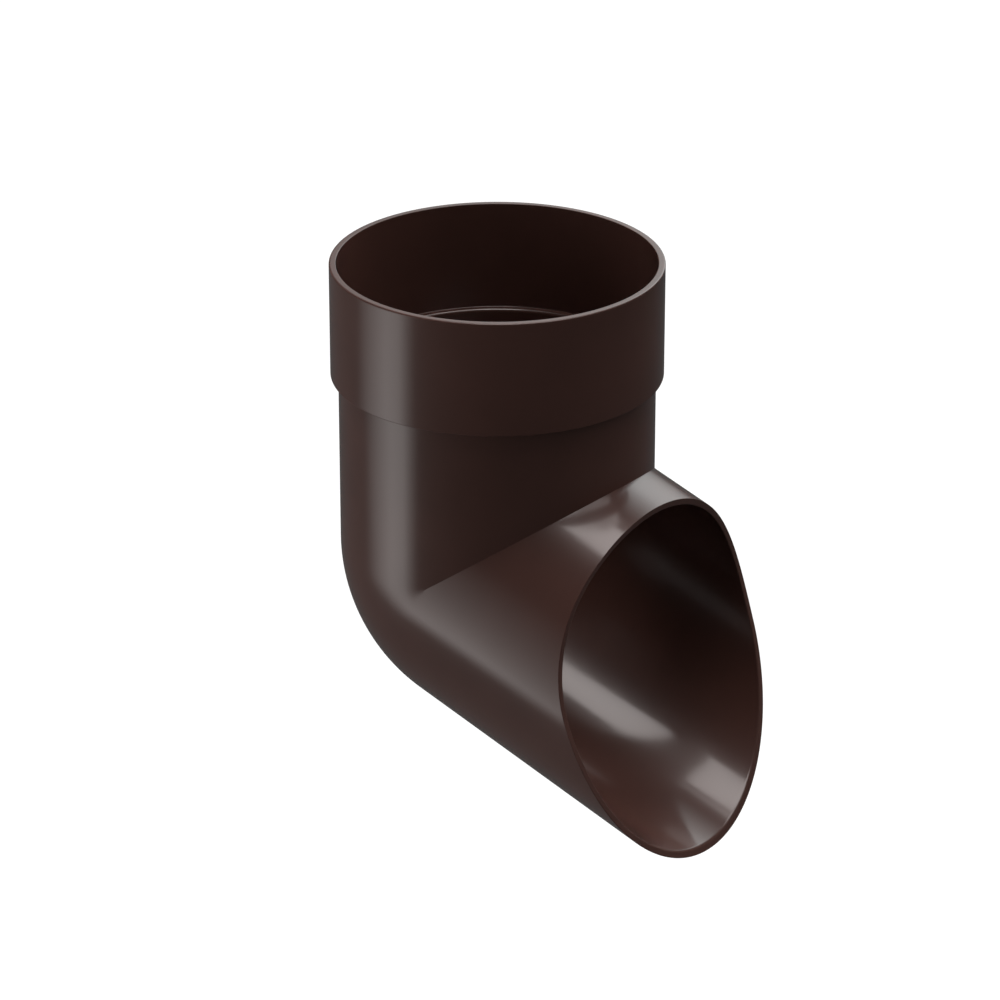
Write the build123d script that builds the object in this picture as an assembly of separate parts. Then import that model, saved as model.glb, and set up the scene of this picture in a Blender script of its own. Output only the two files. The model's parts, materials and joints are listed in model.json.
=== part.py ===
from build123d import *
from math import cos, radians, sin, tan
import os

# Downspout shoe: a moulded PVC foot for the lower end of a round rainwater pipe.
# The pipe enters the socket from above and stands on the ledge inside it. Below the ledge a tube of the
# pipe's own diameter turns outwards through a mitred bend and ends in a scoop-shaped mouth.
# Origin: on the pipe's axis, in the plane of the ledge. +Z runs up the pipe, +X is the way the water leaves.
# Millimetres and degrees.

# Pipe that the socket takes
pipe_diameter = 100.0
pipe_clearance = 0.3        # radial gap between the pipe and the socket

# Socket
socket_depth = 35.5         # from the ledge up to the rim
socket_wall = 2.2
shoulder_wall = 1.4         # from the ledge down to the socket's square lower edge
rim_round = 0.5             # outer edge of the rim
ledge_bevel = 0.5           # inner edge of the ledge

# Tube and bend
tube_wall = 2.0
bend_angle = 72.0           # turn from straight down
pivot_drop = 57.6           # from the ledge down to the centre of the bend
pivot_offset = 8.5          # from the pipe's axis across to the centre of the bend

# Mouth, seen from the side in the outlet's own directions
mouth_length = 50.0         # from the centre of the bend, along the outlet, to the corner of the two cuts
mouth_corner_rise = 15.5    # from the outlet's axis up to that corner
upper_cut_angle = 11.0      # from square across, the upper lip leaning back over the outlet
lower_cut_angle = 37.2      # from square across, the lower lip reaching out
mouth_radius = 100.0        # arc that joins the two cuts

tube_radius = pipe_diameter / 2
waterway_radius = tube_radius - tube_wall
bore_radius = tube_radius + pipe_clearance
socket_radius = bore_radius + socket_wall

# Length of the blanks that are trimmed afterwards, past every end of the shoe
blank_length = 2 * (pipe_diameter + socket_depth + pivot_drop + mouth_length)

# The two frames that meet at the centre of the bend, local X across the tube and local Z away from the bend
bend_sine, bend_cosine = sin(radians(bend_angle)), cos(radians(bend_angle))
pivot = Vector(pivot_offset, 0, -pivot_drop)
pipe_side = Plane(pivot, x_dir=(1, 0, 0), z_dir=(0, 0, 1))
outlet_side = Plane(pivot, x_dir=(bend_cosine, 0, bend_sine), z_dir=(bend_sine, 0, -bend_cosine))


def through_y(*edges):
    # Block with the given outline in the XZ plane, wider than the whole shoe
    return extrude(make_face(edges), amount=blank_length, dir=(0, 1, 0), both=True)


def mitred_rod(radius, length):
    # Rod that stands on the plane of the bend, its throat side cut back by half the turn
    rod = Pos(-pivot_offset, 0, 0) * Cylinder(radius, length, align=(Align.CENTER, Align.CENTER, Align.MIN))
    mitre_rise = blank_length * tan(radians(bend_angle / 2))
    wedge = Polyline((0, 0, 0), (blank_length, 0, 0), (blank_length, 0, mitre_rise), close=True)
    return rod - through_y(wedge)


def bent_rod(radius):
    # Solid from the shoulder down, round the bend and out past the mouth: a sharp mitre at the throat,
    # and at the heel the same round section turned about the centre of the bend
    heel_half = Rectangle(blank_length, blank_length, align=(Align.MAX, Align.CENTER))
    heel_section = pipe_side * (Pos(-pivot_offset, 0) * Circle(radius) & heel_half)
    heel = revolve(heel_section, axis=Axis(pivot, (0, -1, 0)), revolution_arc=bend_angle)
    upright = pipe_side * mitred_rod(radius, pivot_drop - shoulder_wall)
    return upright + heel + outlet_side * mitred_rod(radius, blank_length)


def beyond_mouth():
    # Everything past the mouth: two straight cuts across the outlet, joined by a wide arc
    reach = blank_length / 2
    corner = Vector(mouth_corner_rise - pivot_offset, 0, mouth_length)
    upper = corner + Vector(reach, 0, -reach * tan(radians(upper_cut_angle)))
    lower = corner + Vector(-reach, 0, reach * tan(radians(lower_cut_angle)))
    away = Vector(0, 0, blank_length)
    cut = FilletPolyline(upper, corner, lower, radius=mouth_radius)
    return outlet_side * through_y(cut, Polyline(lower, lower + away, upper + away, upper))


def spout():
    # Tube, bend and outlet in one even wall, its end trimmed to the mouth
    return bent_rod(tube_radius) - bent_rod(waterway_radius) - beyond_mouth()


def socket():
    # Ring that takes the pipe, turned from its section: ledge, bore, rim and square lower edge
    section = Polyline(
        (waterway_radius, 0, 0),
        (bore_radius, 0, 0),
        (bore_radius, 0, socket_depth),
        (socket_radius, 0, socket_depth),
        (socket_radius, 0, -shoulder_wall),
        (waterway_radius, 0, -shoulder_wall),
        close=True,
    )
    ring = revolve(make_face(section), axis=Axis.Z)
    outer_rim = ring.edges().group_by(Axis.Z)[-1].sort_by(SortBy.RADIUS)[-1]
    ring = fillet(outer_rim, rim_round)
    inner_ledge = ring.edges().filter_by(GeomType.CIRCLE).group_by(Axis.Z)[1].sort_by(SortBy.RADIUS)[0]
    return chamfer(inner_ledge, ledge_bevel)


shoe_body = socket() + spout()
shoe_body.label = "shoe_body"

os.makedirs("parts", exist_ok=True)
export_step(shoe_body, "parts/shoe_body.step")
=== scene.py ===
import json
import math
import bpy
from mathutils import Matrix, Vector


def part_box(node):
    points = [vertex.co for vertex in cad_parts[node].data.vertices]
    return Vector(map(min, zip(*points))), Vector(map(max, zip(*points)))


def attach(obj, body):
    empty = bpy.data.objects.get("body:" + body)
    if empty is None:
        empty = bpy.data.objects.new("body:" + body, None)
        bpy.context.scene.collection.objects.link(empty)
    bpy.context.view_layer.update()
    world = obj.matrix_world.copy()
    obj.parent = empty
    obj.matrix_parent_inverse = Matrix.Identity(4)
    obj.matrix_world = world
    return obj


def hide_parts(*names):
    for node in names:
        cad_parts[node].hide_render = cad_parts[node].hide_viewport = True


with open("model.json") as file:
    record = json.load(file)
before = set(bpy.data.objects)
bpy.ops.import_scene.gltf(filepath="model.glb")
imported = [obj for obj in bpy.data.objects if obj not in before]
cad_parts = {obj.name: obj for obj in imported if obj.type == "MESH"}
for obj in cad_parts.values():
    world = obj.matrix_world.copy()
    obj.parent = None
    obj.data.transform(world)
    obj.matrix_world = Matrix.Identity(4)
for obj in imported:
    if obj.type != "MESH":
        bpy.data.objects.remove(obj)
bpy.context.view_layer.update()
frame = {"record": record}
shoeLow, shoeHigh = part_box("shoe_body")
pipeSocket = next(m for m in frame["record"]["mounts"] if m["name"] == "pipe_socket")
print("frame loaded, shoe spans", [round(v, 4) for v in shoeHigh - shoeLow])


class Flow:
    # a number inside a node tree; arithmetic on it adds Math nodes
    def __init__(self, tree, socket):
        self.tree = tree
        self.socket = socket

    def calc(self, operation, *others):
        node = self.tree.nodes.new("ShaderNodeMath")
        node.operation = operation
        for slot, value in zip(node.inputs, (self, *others)):
            feed(slot, value)
        return Flow(self.tree, node.outputs[0])

    def __add__(self, other):
        return self.calc("ADD", other)

    def __sub__(self, other):
        return self.calc("SUBTRACT", other)

    def __mul__(self, other):
        return self.calc("MULTIPLY", other)

    def __truediv__(self, other):
        return self.calc("DIVIDE", other)

    def __neg__(self):
        return self * -1.0

    def clampTo(self, low, high):
        return self.calc("MAXIMUM", low).calc("MINIMUM", high)


def feed(slot, value):
    if isinstance(value, Flow):
        value.tree.links.new(value.socket, slot)
    elif hasattr(value, "is_output"):
        slot.id_data.links.new(value, slot)
    else:
        slot.default_value = value


def place(tree, kind, wires=None, **settings):
    node = tree.nodes.new(kind)
    for name, value in settings.items():
        setattr(node, name, value)
    for slot, value in (wires or {}).items():
        feed(node.inputs[slot], value)
    return node


def pickByIndex(tree, dataType, index, values):
    node = place(tree, "GeometryNodeIndexSwitch", {0: index}, data_type=dataType)
    while len(node.index_switch_items) < len(values):
        node.index_switch_items.new()
    for slot, value in zip(node.inputs[1:], values):
        feed(slot, value)
    return node.outputs[0]


# Shoe: one wall, its section carried round the pipe's axis and then walked down the bend

shoeSizes = {  # metres and radians
    "Rim Level": shoeHigh.z,
    "Shoulder Level": -0.0014,  # underside of the socket; the ledge is level 0
    "Socket Radius": -shoeLow.x,
    "Bore Radius": pipeSocket["dims"]["r_mm"] / 1000,
    "Tube Radius": 0.050,
    "Waterway Radius": 0.048,
    "Pivot Level": -0.0576,  # centre of the bend
    "Pivot Offset": 0.0085,
    "Bend Angle": math.radians(72),
    "Mouth Length": 0.050,  # along the outlet, from the bend's centre to the corner of the two cuts
    "Mouth Corner Rise": 0.0155,  # from the outlet's axis up to that corner
    "Upper Cut": math.radians(11),
    "Lower Cut": math.radians(37.2),
    "Mouth Radius": 0.100,
    "Outlet Run": 0.075,  # the section's own length for the outlet, stretched or shortened to the mouth
    "Rim Round": 0.0005,
    "Ledge Round": 0.0009,
    "Lip Round": 0.0004,  # inner edge of the mouth
    "Edge Round": 0.0002,  # the other edges and corners
    "Station Gap": 0.0014,
    "Guard Gap": 0.00015,  # from each rounding to the first station on the flat beside it
    "Steps Around": 216,
    "Round Steps": 6,
}
wholeSizes = ("Steps Around", "Round Steps")
closeness = {  # metres
    "sameLevel": 1e-6,
    "leastHeel": 1e-7,
    "weld": 2e-6,
}


def wallSection(tree, size, shoulder, bendLevel, lipLevel):
    # closed outline of the wall, radius along X and level along Z, before the bend
    corners = (  # radius, level, rounding, then the way the outline goes on
        (size["Tube Radius"], lipLevel, size["Edge Round"], (0, 1)),
        (size["Tube Radius"], bendLevel, None, (0, 1)),
        (size["Tube Radius"], shoulder, size["Edge Round"], (1, 0)),
        (size["Socket Radius"], shoulder, size["Edge Round"], (0, 1)),
        (size["Socket Radius"], size["Rim Level"], size["Rim Round"], (-1, 0)),
        (size["Bore Radius"], size["Rim Level"], size["Edge Round"], (0, -1)),
        (size["Bore Radius"], 0.0, size["Edge Round"], (-1, 0)),
        (size["Waterway Radius"], 0.0, size["Ledge Round"], (0, -1)),
        (size["Waterway Radius"], bendLevel, None, (0, -1)),
        (size["Waterway Radius"], lipLevel, size["Lip Round"], (1, 0)),
    )
    stops = []  # radius, level, rounding; a station on each side of a rounding keeps the flats flat
    arrival = corners[-1][3]
    for radius, level, rounding, departure in corners:
        if rounding is None:
            stops.append((radius, level, 0.0))
        else:
            apart = rounding + size["Guard Gap"]
            stops.append((apart * -arrival[0] + radius, apart * -arrival[1] + level, 0.0))
            stops.append((radius, level, rounding))
            stops.append((apart * departure[0] + radius, apart * departure[1] + level, 0.0))
        arrival = departure
    index = place(tree, "GeometryNodeInputIndex").outputs[0]
    spots = [place(tree, "ShaderNodeCombineXYZ", {"X": radius, "Z": level}).outputs[0]
             for radius, level, _ in stops]
    points = place(tree, "GeometryNodePoints", {
        "Count": len(stops), "Position": pickByIndex(tree, "VECTOR", index, spots)})
    outline = place(tree, "GeometryNodePointsToCurves", {"Points": points.outputs[0]})
    closed = place(tree, "GeometryNodeSetSplineCyclic", {
        "Geometry": outline.outputs[0], "Cyclic": True})
    rounded = place(tree, "GeometryNodeFilletCurve", {
        "Curve": closed.outputs[0], "Count": size["Round Steps"], "Limit Radius": True,
        "Radius": pickByIndex(tree, "FLOAT", index, [rounding for _, _, rounding in stops])}, mode="POLY")
    # enough stations on each straight run to follow the bend
    here = place(tree, "GeometryNodeInputPosition").outputs[0]
    following = place(tree, "GeometryNodeOffsetPointInCurve", {"Point Index": index, "Offset": 1})
    nextSpot = place(tree, "GeometryNodeFieldAtIndex", {
        "Index": following.outputs["Point Index"], "Value": here}, data_type="FLOAT_VECTOR")
    run = place(tree, "ShaderNodeVectorMath", {0: here, 1: nextSpot.outputs[0]}, operation="DISTANCE")
    cuts = (Flow(tree, run.outputs["Value"]) / size["Station Gap"]).calc("FLOOR")
    stations = place(tree, "GeometryNodeSubdivideCurve", {"Curve": rounded.outputs[0], "Cuts": cuts})
    return stations.outputs[0]


def mouthReach(size, across):
    # distance along the outlet to the lip: two straight cuts joined by an arc
    upper, lower, radius = size["Upper Cut"], size["Lower Cut"], size["Mouth Radius"]
    fromCorner = across - (size["Mouth Corner Rise"] - size["Pivot Offset"])
    upperLine = size["Mouth Length"] - fromCorner * upper.calc("TANGENT")
    lowerLine = size["Mouth Length"] - fromCorner * lower.calc("TANGENT")
    spread = radius / ((lower - upper).calc("COSINE") + 1.0)
    arcAcross = spread * (upper.calc("SINE") + lower.calc("SINE"))
    arcAlong = spread * (upper.calc("COSINE") + lower.calc("COSINE"))
    fromArc = (fromCorner - arcAcross).clampTo(-radius, radius)
    arc = size["Mouth Length"] + arcAlong - (radius * radius - fromArc * fromArc).calc("SQRT")
    aboveLower = fromArc.calc("GREATER_THAN", -(radius * lower.calc("SINE")))
    belowUpper = fromArc.calc("LESS_THAN", -(radius * upper.calc("SINE")))
    onArc = aboveLower * belowUpper
    lines = upperLine.calc("MAXIMUM", lowerLine)
    return lines + onArc * (arc - lines)


def buildShoeTree(finish):
    tree = bpy.data.node_groups.new("shoeWall", "GeometryNodeTree")
    tree.interface.new_socket("Geometry", in_out="OUTPUT", socket_type="NodeSocketGeometry")
    for name in shoeSizes:
        kind = "NodeSocketInt" if name in wholeSizes else "NodeSocketFloat"
        tree.interface.new_socket(name, in_out="INPUT", socket_type=kind)
    sizesIn = place(tree, "NodeGroupInput")
    size = {name: Flow(tree, sizesIn.outputs[name]) for name in shoeSizes}

    shoulder = size["Shoulder Level"]
    bendLevel = size["Pivot Level"]
    uprightRun = shoulder - bendLevel
    outletRun = size["Outlet Run"]
    section = wallSection(tree, size, shoulder, bendLevel, bendLevel - outletRun)

    # sheet of stations (down a column) by steps round the pipe (along a row), both one over to close
    stationCount = Flow(tree, place(tree, "GeometryNodeAttributeDomainSize", {
        "Geometry": section}, component="CURVE").outputs["Point Count"])
    columnLength = stationCount + 1.0
    sheet = place(tree, "GeometryNodeMeshGrid", {
        "Vertices X": size["Steps Around"] + 1.0, "Vertices Y": columnLength})
    index = Flow(tree, place(tree, "GeometryNodeInputIndex").outputs[0])
    step = ((index + 0.5) / columnLength).calc("FLOOR")
    station = index - step * columnLength
    spot = place(tree, "GeometryNodeSampleIndex", {
        "Geometry": section, "Value": place(tree, "GeometryNodeInputPosition").outputs[0],
        "Index": station.calc("FLOORED_MODULO", stationCount)}, data_type="FLOAT_VECTOR")
    spotParts = place(tree, "ShaderNodeSeparateXYZ", {0: spot.outputs[0]})
    radius, level = (Flow(tree, spotParts.outputs[axis]) for axis in "XZ")
    turn = step / size["Steps Around"] * math.tau

    # how far each station has walked: down the upright half, then out along the outlet half
    along = radius * turn.calc("COSINE")
    across = along - size["Pivot Offset"]
    throat = across.calc("MAXIMUM", 0.0)
    heel = (-across).calc("MAXIMUM", 0.0)
    halfBend = size["Bend Angle"] * 0.5
    mitre = throat * halfBend.calc("TANGENT")
    halfArc = heel * halfBend
    walkedDown = ((shoulder - level) / uprightRun).clampTo(0.0, 1.0) * (uprightRun - mitre + halfArc)
    outletSide = mouthReach(size, across) - mitre + halfArc
    walkedOut = ((bendLevel - level) / outletRun).clampTo(0.0, 1.0) * outletSide
    pastBend = (bendLevel - level).calc("GREATER_THAN", closeness["sameLevel"])
    heelSafe = heel.calc("MAXIMUM", closeness["leastHeel"])
    turnedDown = ((walkedDown - uprightRun) / heelSafe).calc("MAXIMUM", 0.0).calc("MINIMUM", halfBend)
    turnedOut = (walkedOut / heelSafe).calc("MINIMUM", halfBend)
    turned = turnedDown + pastBend * (halfBend - turnedDown + turnedOut)
    leftDown = (uprightRun - walkedDown).calc("MAXIMUM", 0.0) * (-pastBend + 1.0)
    goneOut = (walkedOut + mitre - halfArc).calc("MAXIMUM", 0.0) * pastBend
    aboveShoulder = (level - shoulder).calc("MAXIMUM", 0.0)
    bend = size["Bend Angle"]
    placeX = size["Pivot Offset"] + across * turned.calc("COSINE") + goneOut * bend.calc("SINE")
    placeZ = (bendLevel + across * turned.calc("SINE") + leftDown
              - goneOut * bend.calc("COSINE") + aboveShoulder)
    spread = place(tree, "ShaderNodeCombineXYZ", {
        "X": placeX, "Y": radius * turn.calc("SINE"), "Z": placeZ})
    wall = place(tree, "GeometryNodeSetPosition", {
        "Geometry": sheet.outputs["Mesh"], "Position": spread.outputs[0]})

    # the throat's crease stays sharp, everything else is smooth
    atBend = (level - bendLevel).calc("ABSOLUTE").calc("LESS_THAN", closeness["sameLevel"])
    onCrease = atBend * across.calc("GREATER_THAN", 0.0)
    marked = place(tree, "GeometryNodeStoreNamedAttribute", {
        "Geometry": wall.outputs[0], "Name": "crease", "Value": onCrease},
        data_type="FLOAT", domain="POINT")
    joined = place(tree, "GeometryNodeMergeByDistance", {
        "Geometry": marked.outputs[0], "Distance": closeness["weld"]})
    smooth = place(tree, "GeometryNodeSetShadeSmooth", {
        "Geometry": joined.outputs[0], "Shade Smooth": True}, domain="FACE")
    creaseMark = Flow(tree, place(tree, "GeometryNodeInputNamedAttribute", {
        "Name": "crease"}, data_type="FLOAT").outputs[0])
    bothEndsMarked = creaseMark.calc("GREATER_THAN", 0.99)
    creased = place(tree, "GeometryNodeSetShadeSmooth", {
        "Geometry": smooth.outputs[0], "Selection": bothEndsMarked, "Shade Smooth": False}, domain="EDGE")
    cleaned = place(tree, "GeometryNodeRemoveAttribute", {
        "Geometry": creased.outputs[0], "Name": "crease"})
    realized = place(tree, "GeometryNodeRealizeInstances", {"Geometry": cleaned.outputs[0]})
    painted = place(tree, "GeometryNodeSetMaterial", {
        "Geometry": realized.outputs[0], "Material": finish})
    place(tree, "NodeGroupOutput", {"Geometry": painted.outputs[0]})
    return tree


def meshFromTree(name, tree, values):
    carrier = bpy.data.objects.new(name + "Carrier", bpy.data.meshes.new(name + "Carrier"))
    bpy.context.collection.objects.link(carrier)
    modifier = carrier.modifiers.new("wall", "NODES")
    modifier.node_group = tree
    for item in tree.interface.items_tree:
        if item.in_out == "INPUT":
            modifier[item.identifier] = values[item.name]
    evaluated = carrier.evaluated_get(bpy.context.evaluated_depsgraph_get())
    mesh = bpy.data.meshes.new_from_object(evaluated)
    carrier.modifiers.remove(modifier)
    bpy.data.objects.remove(carrier)
    mesh.name = name
    piece = bpy.data.objects.new(name, mesh)
    bpy.context.collection.objects.link(piece)
    return piece


# Finish of the shoe: smooth brown PVC as it leaves the mould

plasticFinish = {
    "refraction": 1.5,
    "darkPigment": (0.0425, 0.0190, 0.0150, 1.0),
    "lightPigment": (0.0515, 0.0230, 0.0182, 1.0),
    "cloudScale": 22.0,
    "cloudDetail": 3.0,
    "cloudSpan": (0.35, 0.65),  # part of the noise that goes from dark to light
    "clearGloss": 0.29,
    "smoothest": 0.10,
    "roughest": 0.14,
    "bloom": 0.43,  # hazier part of the gloss
    "bloomRoughness": 0.29,
    "hazeScale": 60.0,
    "hazeDetail": 4.0,
    "hazeSpan": (0.3, 0.7),
    "rippleScale": 260.0,  # faint waviness of a moulded face
    "rippleDetail": 2.0,
    "rippleHeight": 0.000004,
}


def brownPlastic():
    finish = bpy.data.materials.new("brownPlastic")
    finish.use_nodes = True
    tree = finish.node_tree
    shader = tree.nodes["Principled BSDF"]
    shader.inputs["IOR"].default_value = plasticFinish["refraction"]
    spot = place(tree, "ShaderNodeTexCoord").outputs["Object"]
    clouds = place(tree, "ShaderNodeTexNoise", {
        "Vector": spot, "Scale": plasticFinish["cloudScale"], "Detail": plasticFinish["cloudDetail"]})
    pigment = place(tree, "ShaderNodeValToRGB", {"Fac": clouds.outputs["Fac"]})
    tones = (plasticFinish["darkPigment"], plasticFinish["lightPigment"])
    for stop, position, tone in zip(pigment.color_ramp.elements, plasticFinish["cloudSpan"], tones):
        stop.position = position
        stop.color = tone
    feed(shader.inputs["Base Color"], pigment.outputs["Color"])
    haze = place(tree, "ShaderNodeTexNoise", {
        "Vector": spot, "Scale": plasticFinish["hazeScale"], "Detail": plasticFinish["hazeDetail"]})
    gloss = place(tree, "ShaderNodeMapRange", {
        "Value": haze.outputs["Fac"],
        "From Min": plasticFinish["hazeSpan"][0], "From Max": plasticFinish["hazeSpan"][1],
        "To Min": plasticFinish["smoothest"], "To Max": plasticFinish["roughest"]})
    feed(shader.inputs["Roughness"], gloss.outputs["Result"])
    shader.inputs["Specular IOR Level"].default_value = plasticFinish["clearGloss"]
    shader.inputs["Coat Weight"].default_value = plasticFinish["bloom"]
    shader.inputs["Coat Roughness"].default_value = plasticFinish["bloomRoughness"]
    ripple = place(tree, "ShaderNodeTexNoise", {
        "Vector": spot, "Scale": plasticFinish["rippleScale"], "Detail": plasticFinish["rippleDetail"]})
    relief = place(tree, "ShaderNodeBump", {
        "Height": ripple.outputs["Fac"], "Strength": 1.0, "Distance": plasticFinish["rippleHeight"]})
    feed(shader.inputs["Normal"], relief.outputs["Normal"])
    feed(shader.inputs["Coat Normal"], relief.outputs["Normal"])
    return finish


shoe = meshFromTree("downspoutShoe", buildShoeTree(brownPlastic()), shoeSizes)
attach(shoe, "root")
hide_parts("shoe_body")
print("shoe wall:", len(shoe.data.polygons), "faces")


# Camera: the photograph's angle, from the front and right of the mouth

viewpoint = {
    "azimuth": math.radians(-52.157),  # from +X, counter-clockwise seen from above
    "elevation": math.radians(24.294),
    "distance": 1.48862,
    "lens": 168.21,
    "aimLevel": -0.04622,
    "aimShift": 0.00088,  # to the right in the picture
}


def aroundCamera(azimuth, elevation):
    # unit vector, azimuth counted from the camera's own
    turn = viewpoint["azimuth"] + azimuth
    level = math.cos(elevation)
    return Vector((level * math.cos(turn), level * math.sin(turn), math.sin(elevation)))


camera = bpy.data.objects.new("camera", bpy.data.cameras.new("camera"))
bpy.context.collection.objects.link(camera)
toCamera = aroundCamera(0, viewpoint["elevation"])
toRight = aroundCamera(math.pi / 2, 0)
camera.data.lens = viewpoint["lens"]
camera.location = (Vector((0, 0, viewpoint["aimLevel"])) + toRight * viewpoint["aimShift"]
                   + toCamera * viewpoint["distance"])
camera.rotation_euler = (-toCamera).to_track_quat("-Z", "Y").to_euler()
bpy.context.scene.camera = camera
print("camera placed")


# Studio: white floor, soft panels, dim surroundings

studio = {
    "floorLevel": -0.35,
    "floorSize": 30.0,
    "floorTone": (0.05, 0.05, 0.05, 1.0),  # under its own glow
    "floorRoughness": 0.9,
    "floorGlow": 0.97,
    "backdropGlow": 1.0,
    "panelDistance": 1.5,
    "lobePower": 3.0,
    "mirroredRoom": 0.05,  # what the gloss picks up beside the panels
    "mirroredLeft": 0.04,  # and more of it low on the left
    "mirroredTurn": -135,
    "mirroredRise": -35,
}
plainWhite = (1.0, 1.0, 1.0, 1.0)
fillLobes = {  # light on the matt part of the finish; degrees round from the camera and above level
    "behind": {"turn": 175, "rise": 50, "glow": 5.3},
    "left": {"turn": -100, "rise": -30, "glow": 3.3},
    "front": {"turn": 10, "rise": -10, "glow": 0.14},
    "right": {"turn": 95, "rise": 38, "glow": 1.3},
}
panels = {  # degrees as above; feather is the soft share at left, right, foot and head
    "leftPanel": {"from": -104, "to": -50, "foot": -33, "head": 31, "lean": 20, "glow": 2.62, "fade": 1.5,
                  "feather": (0.56, 0.25, 0.13, 0.86), "tint": (1.04, 0.99, 0.97, 1.0), "glossOnly": False},
    "topPanel": {"from": -9.2, "to": 9.2, "foot": 66, "head": 102.5, "lean": 0, "glow": 6.3, "fade": 1.0,
                 "feather": (0.06, 0.06, 0.10, 0.06), "tint": (1.06, 0.99, 0.97, 1.0), "glossOnly": False},
    # the next two show only in the gloss, along the ledge and the lip
    "highPanel": {"from": 68, "to": 102, "foot": 58, "head": 82, "lean": 0, "glow": 4.5, "fade": 1.0,
                  "feather": (0.10, 0.10, 0.25, 0.10), "tint": (1.06, 0.99, 0.97, 1.0), "glossOnly": True},
    "dimPanel": {"from": -118, "to": -96, "foot": 66, "head": 81.5, "lean": 0, "glow": 2.2, "fade": 1.0,
                 "feather": (0.20, 0.30, 0.60, 0.05), "tint": (1.06, 0.99, 0.97, 1.0), "glossOnly": True},
    "backPanel": {"from": 136, "to": 188, "foot": -3, "head": 64, "lean": 0, "glow": 2.95, "fade": 1.0,
                  "feather": (0.18, 0.60, 0.56, 0.42), "tint": (0.96, 1.01, 1.01, 1.0), "glossOnly": False},
}
sheetCorners = ((-1, -1), (1, -1), (1, 1), (-1, 1))


def plainSheet(name, corners):
    mesh = bpy.data.meshes.new(name)
    mesh.from_pydata(corners, [], [(0, 1, 2, 3)])
    sheet = bpy.data.objects.new(name, mesh)
    bpy.context.collection.objects.link(sheet)
    return sheet


def paleFloor():
    half = studio["floorSize"] / 2
    level = studio["floorLevel"]
    floor = plainSheet("floor", [(half * i, half * j, level) for i, j in sheetCorners])
    floor.visible_glossy = floor.visible_diffuse = floor.visible_shadow = False
    paint = bpy.data.materials.new("palePaint")
    paint.use_nodes = True
    shader = paint.node_tree.nodes["Principled BSDF"]
    shader.inputs["Base Color"].default_value = studio["floorTone"]
    shader.inputs["Roughness"].default_value = studio["floorRoughness"]
    shader.inputs["Specular IOR Level"].default_value = 0.0
    shader.inputs["Emission Color"].default_value = plainWhite
    shader.inputs["Emission Strength"].default_value = studio["floorGlow"]
    tree = paint.node_tree
    underside = place(tree, "ShaderNodeNewGeometry").outputs["Backfacing"]
    clear = place(tree, "ShaderNodeBsdfTransparent")  # so that the shoe can be seen from below
    both = place(tree, "ShaderNodeMixShader", {
        0: underside, 1: shader.outputs[0], 2: clear.outputs[0]})
    feed(tree.nodes["Material Output"].inputs["Surface"], both.outputs[0])
    floor.data.materials.append(paint)


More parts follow.
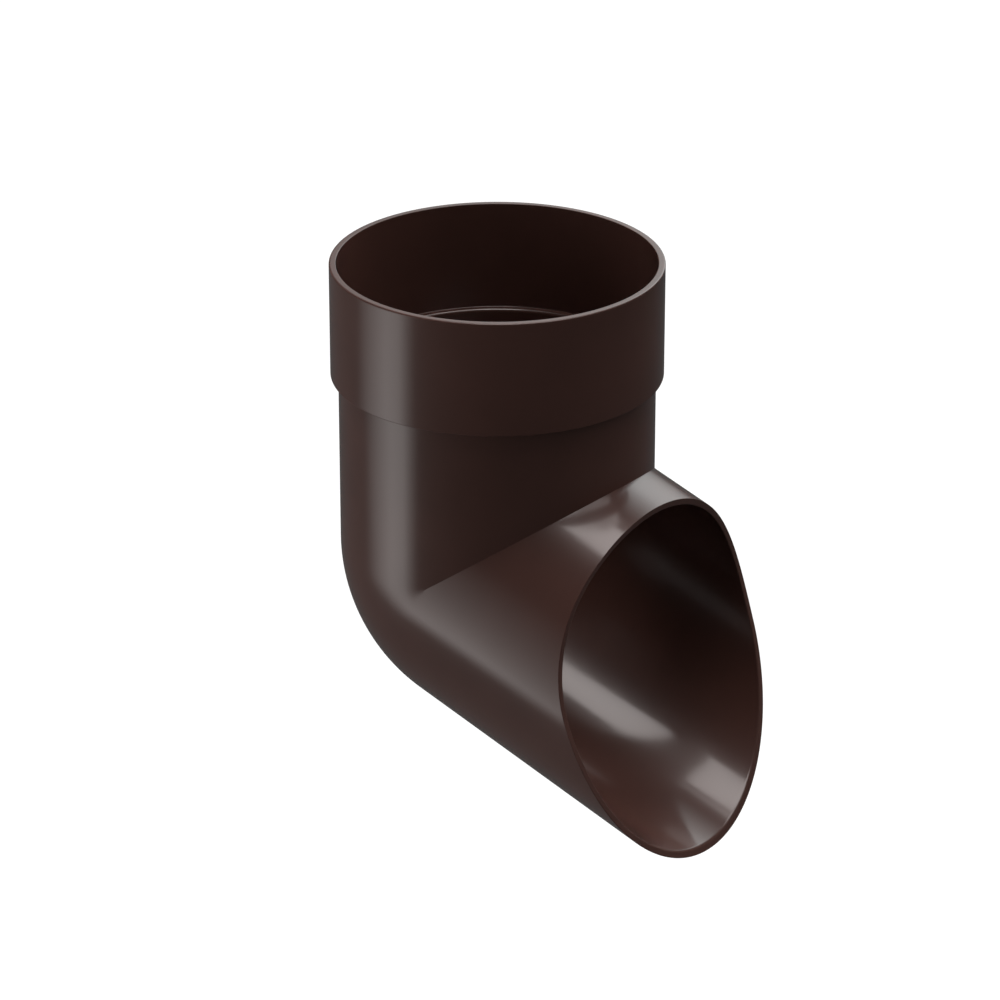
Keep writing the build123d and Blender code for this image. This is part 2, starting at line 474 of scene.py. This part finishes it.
def softPanel(name, spec):
    middleTurn = math.radians(spec["from"] + spec["to"]) / 2
    middleRise = math.radians(spec["foot"] + spec["head"]) / 2
    reach = studio["panelDistance"]
    facing = aroundCamera(middleTurn, middleRise)
    sideways = aroundCamera(middleTurn + math.pi / 2, 0)
    upwards = facing.cross(sideways) + sideways * math.tan(math.radians(spec["lean"]))
    middle = facing * reach + Vector((0, 0, viewpoint["aimLevel"]))
    halfWide = sideways * reach * math.tan(math.radians(spec["to"] - spec["from"]) / 2)
    halfHigh = upwards * reach * math.tan(math.radians(spec["head"] - spec["foot"]) / 2)
    panel = plainSheet(name, [middle + halfWide * i + halfHigh * j for i, j in sheetCorners])
    panel.visible_camera = False
    panel.visible_diffuse = not spec["glossOnly"]
    uvs = panel.data.uv_layers.new(name="cloth").data
    for loop, (i, j) in zip(uvs, sheetCorners):
        loop.uv = (i + 1) / 2, (j + 1) / 2
    cloth = bpy.data.materials.new(name + "Cloth")
    cloth.use_nodes = True
    tree = cloth.node_tree
    tree.nodes.remove(tree.nodes["Principled BSDF"])
    spot = place(tree, "ShaderNodeSeparateXYZ", {0: place(tree, "ShaderNodeTexCoord").outputs["UV"]})
    across, upward = (Flow(tree, spot.outputs[axis]) for axis in "XY")
    fall = None
    for inward, soft in zip((across, -across + 1.0, upward, -upward + 1.0), spec["feather"]):
        edge = Flow(tree, place(tree, "ShaderNodeMapRange", {
            "Value": inward, "From Max": soft}).outputs["Result"])
        fall = edge if fall is None else fall * edge
    glow = place(tree, "ShaderNodeEmission", {
        "Color": spec["tint"], "Strength": fall.calc("POWER", spec["fade"]) * spec["glow"]})
    clear = place(tree, "ShaderNodeBsdfTransparent")  # so that panels add up where they overlap
    both = place(tree, "ShaderNodeAddShader", {0: glow.outputs[0], 1: clear.outputs[0]})
    feed(tree.nodes["Material Output"].inputs["Surface"], both.outputs[0])
    panel.data.materials.append(cloth)


def roomLobe(tree, heading, turn, rise):
    # one at the given direction, falling to nothing a quarter turn away
    towards = aroundCamera(math.radians(turn), math.radians(rise))
    spread = place(tree, "ShaderNodeVectorMath", {0: heading, 1: towards}, operation="DOT_PRODUCT")
    return Flow(tree, spread.outputs["Value"]).calc("MAXIMUM", 0.0)


def studioRoom():
    world = bpy.data.worlds.new("studio")
    bpy.context.scene.world = world
    world.use_nodes = True
    world.cycles.sampling_method = "NONE"  # the room is soft, so rays find it by themselves
    tree = world.node_tree
    room = tree.nodes["Background"]
    room.inputs["Color"].default_value = plainWhite
    heading = place(tree, "ShaderNodeTexCoord").outputs["Generated"]
    fill = None
    for spec in fillLobes.values():
        lobe = roomLobe(tree, heading, spec["turn"], spec["rise"])
        light = lobe.calc("POWER", studio["lobePower"]) * spec["glow"]
        fill = light if fill is None else fill + light
    lowLeft = roomLobe(tree, heading, studio["mirroredTurn"], studio["mirroredRise"])
    mirrored = lowLeft * studio["mirroredLeft"] + studio["mirroredRoom"]
    rays = place(tree, "ShaderNodeLightPath")
    inGloss = Flow(tree, rays.outputs["Is Glossy Ray"])
    feed(room.inputs["Strength"], fill + inGloss * (mirrored - fill))
    backdrop = place(tree, "ShaderNodeBackground", {
        "Color": plainWhite, "Strength": studio["backdropGlow"]})
    mixed = place(tree, "ShaderNodeMixShader", {
        0: rays.outputs["Is Camera Ray"], 1: room.outputs[0], 2: backdrop.outputs[0]})
    feed(tree.nodes["World Output"].inputs["Surface"], mixed.outputs[0])


paleFloor()
for panelName, panelSpec in panels.items():
    softPanel(panelName, panelSpec)
studioRoom()
bpy.context.scene.view_settings.view_transform = "Standard"
print("studio lit with", len(panels), "panels")

print("scene finished")
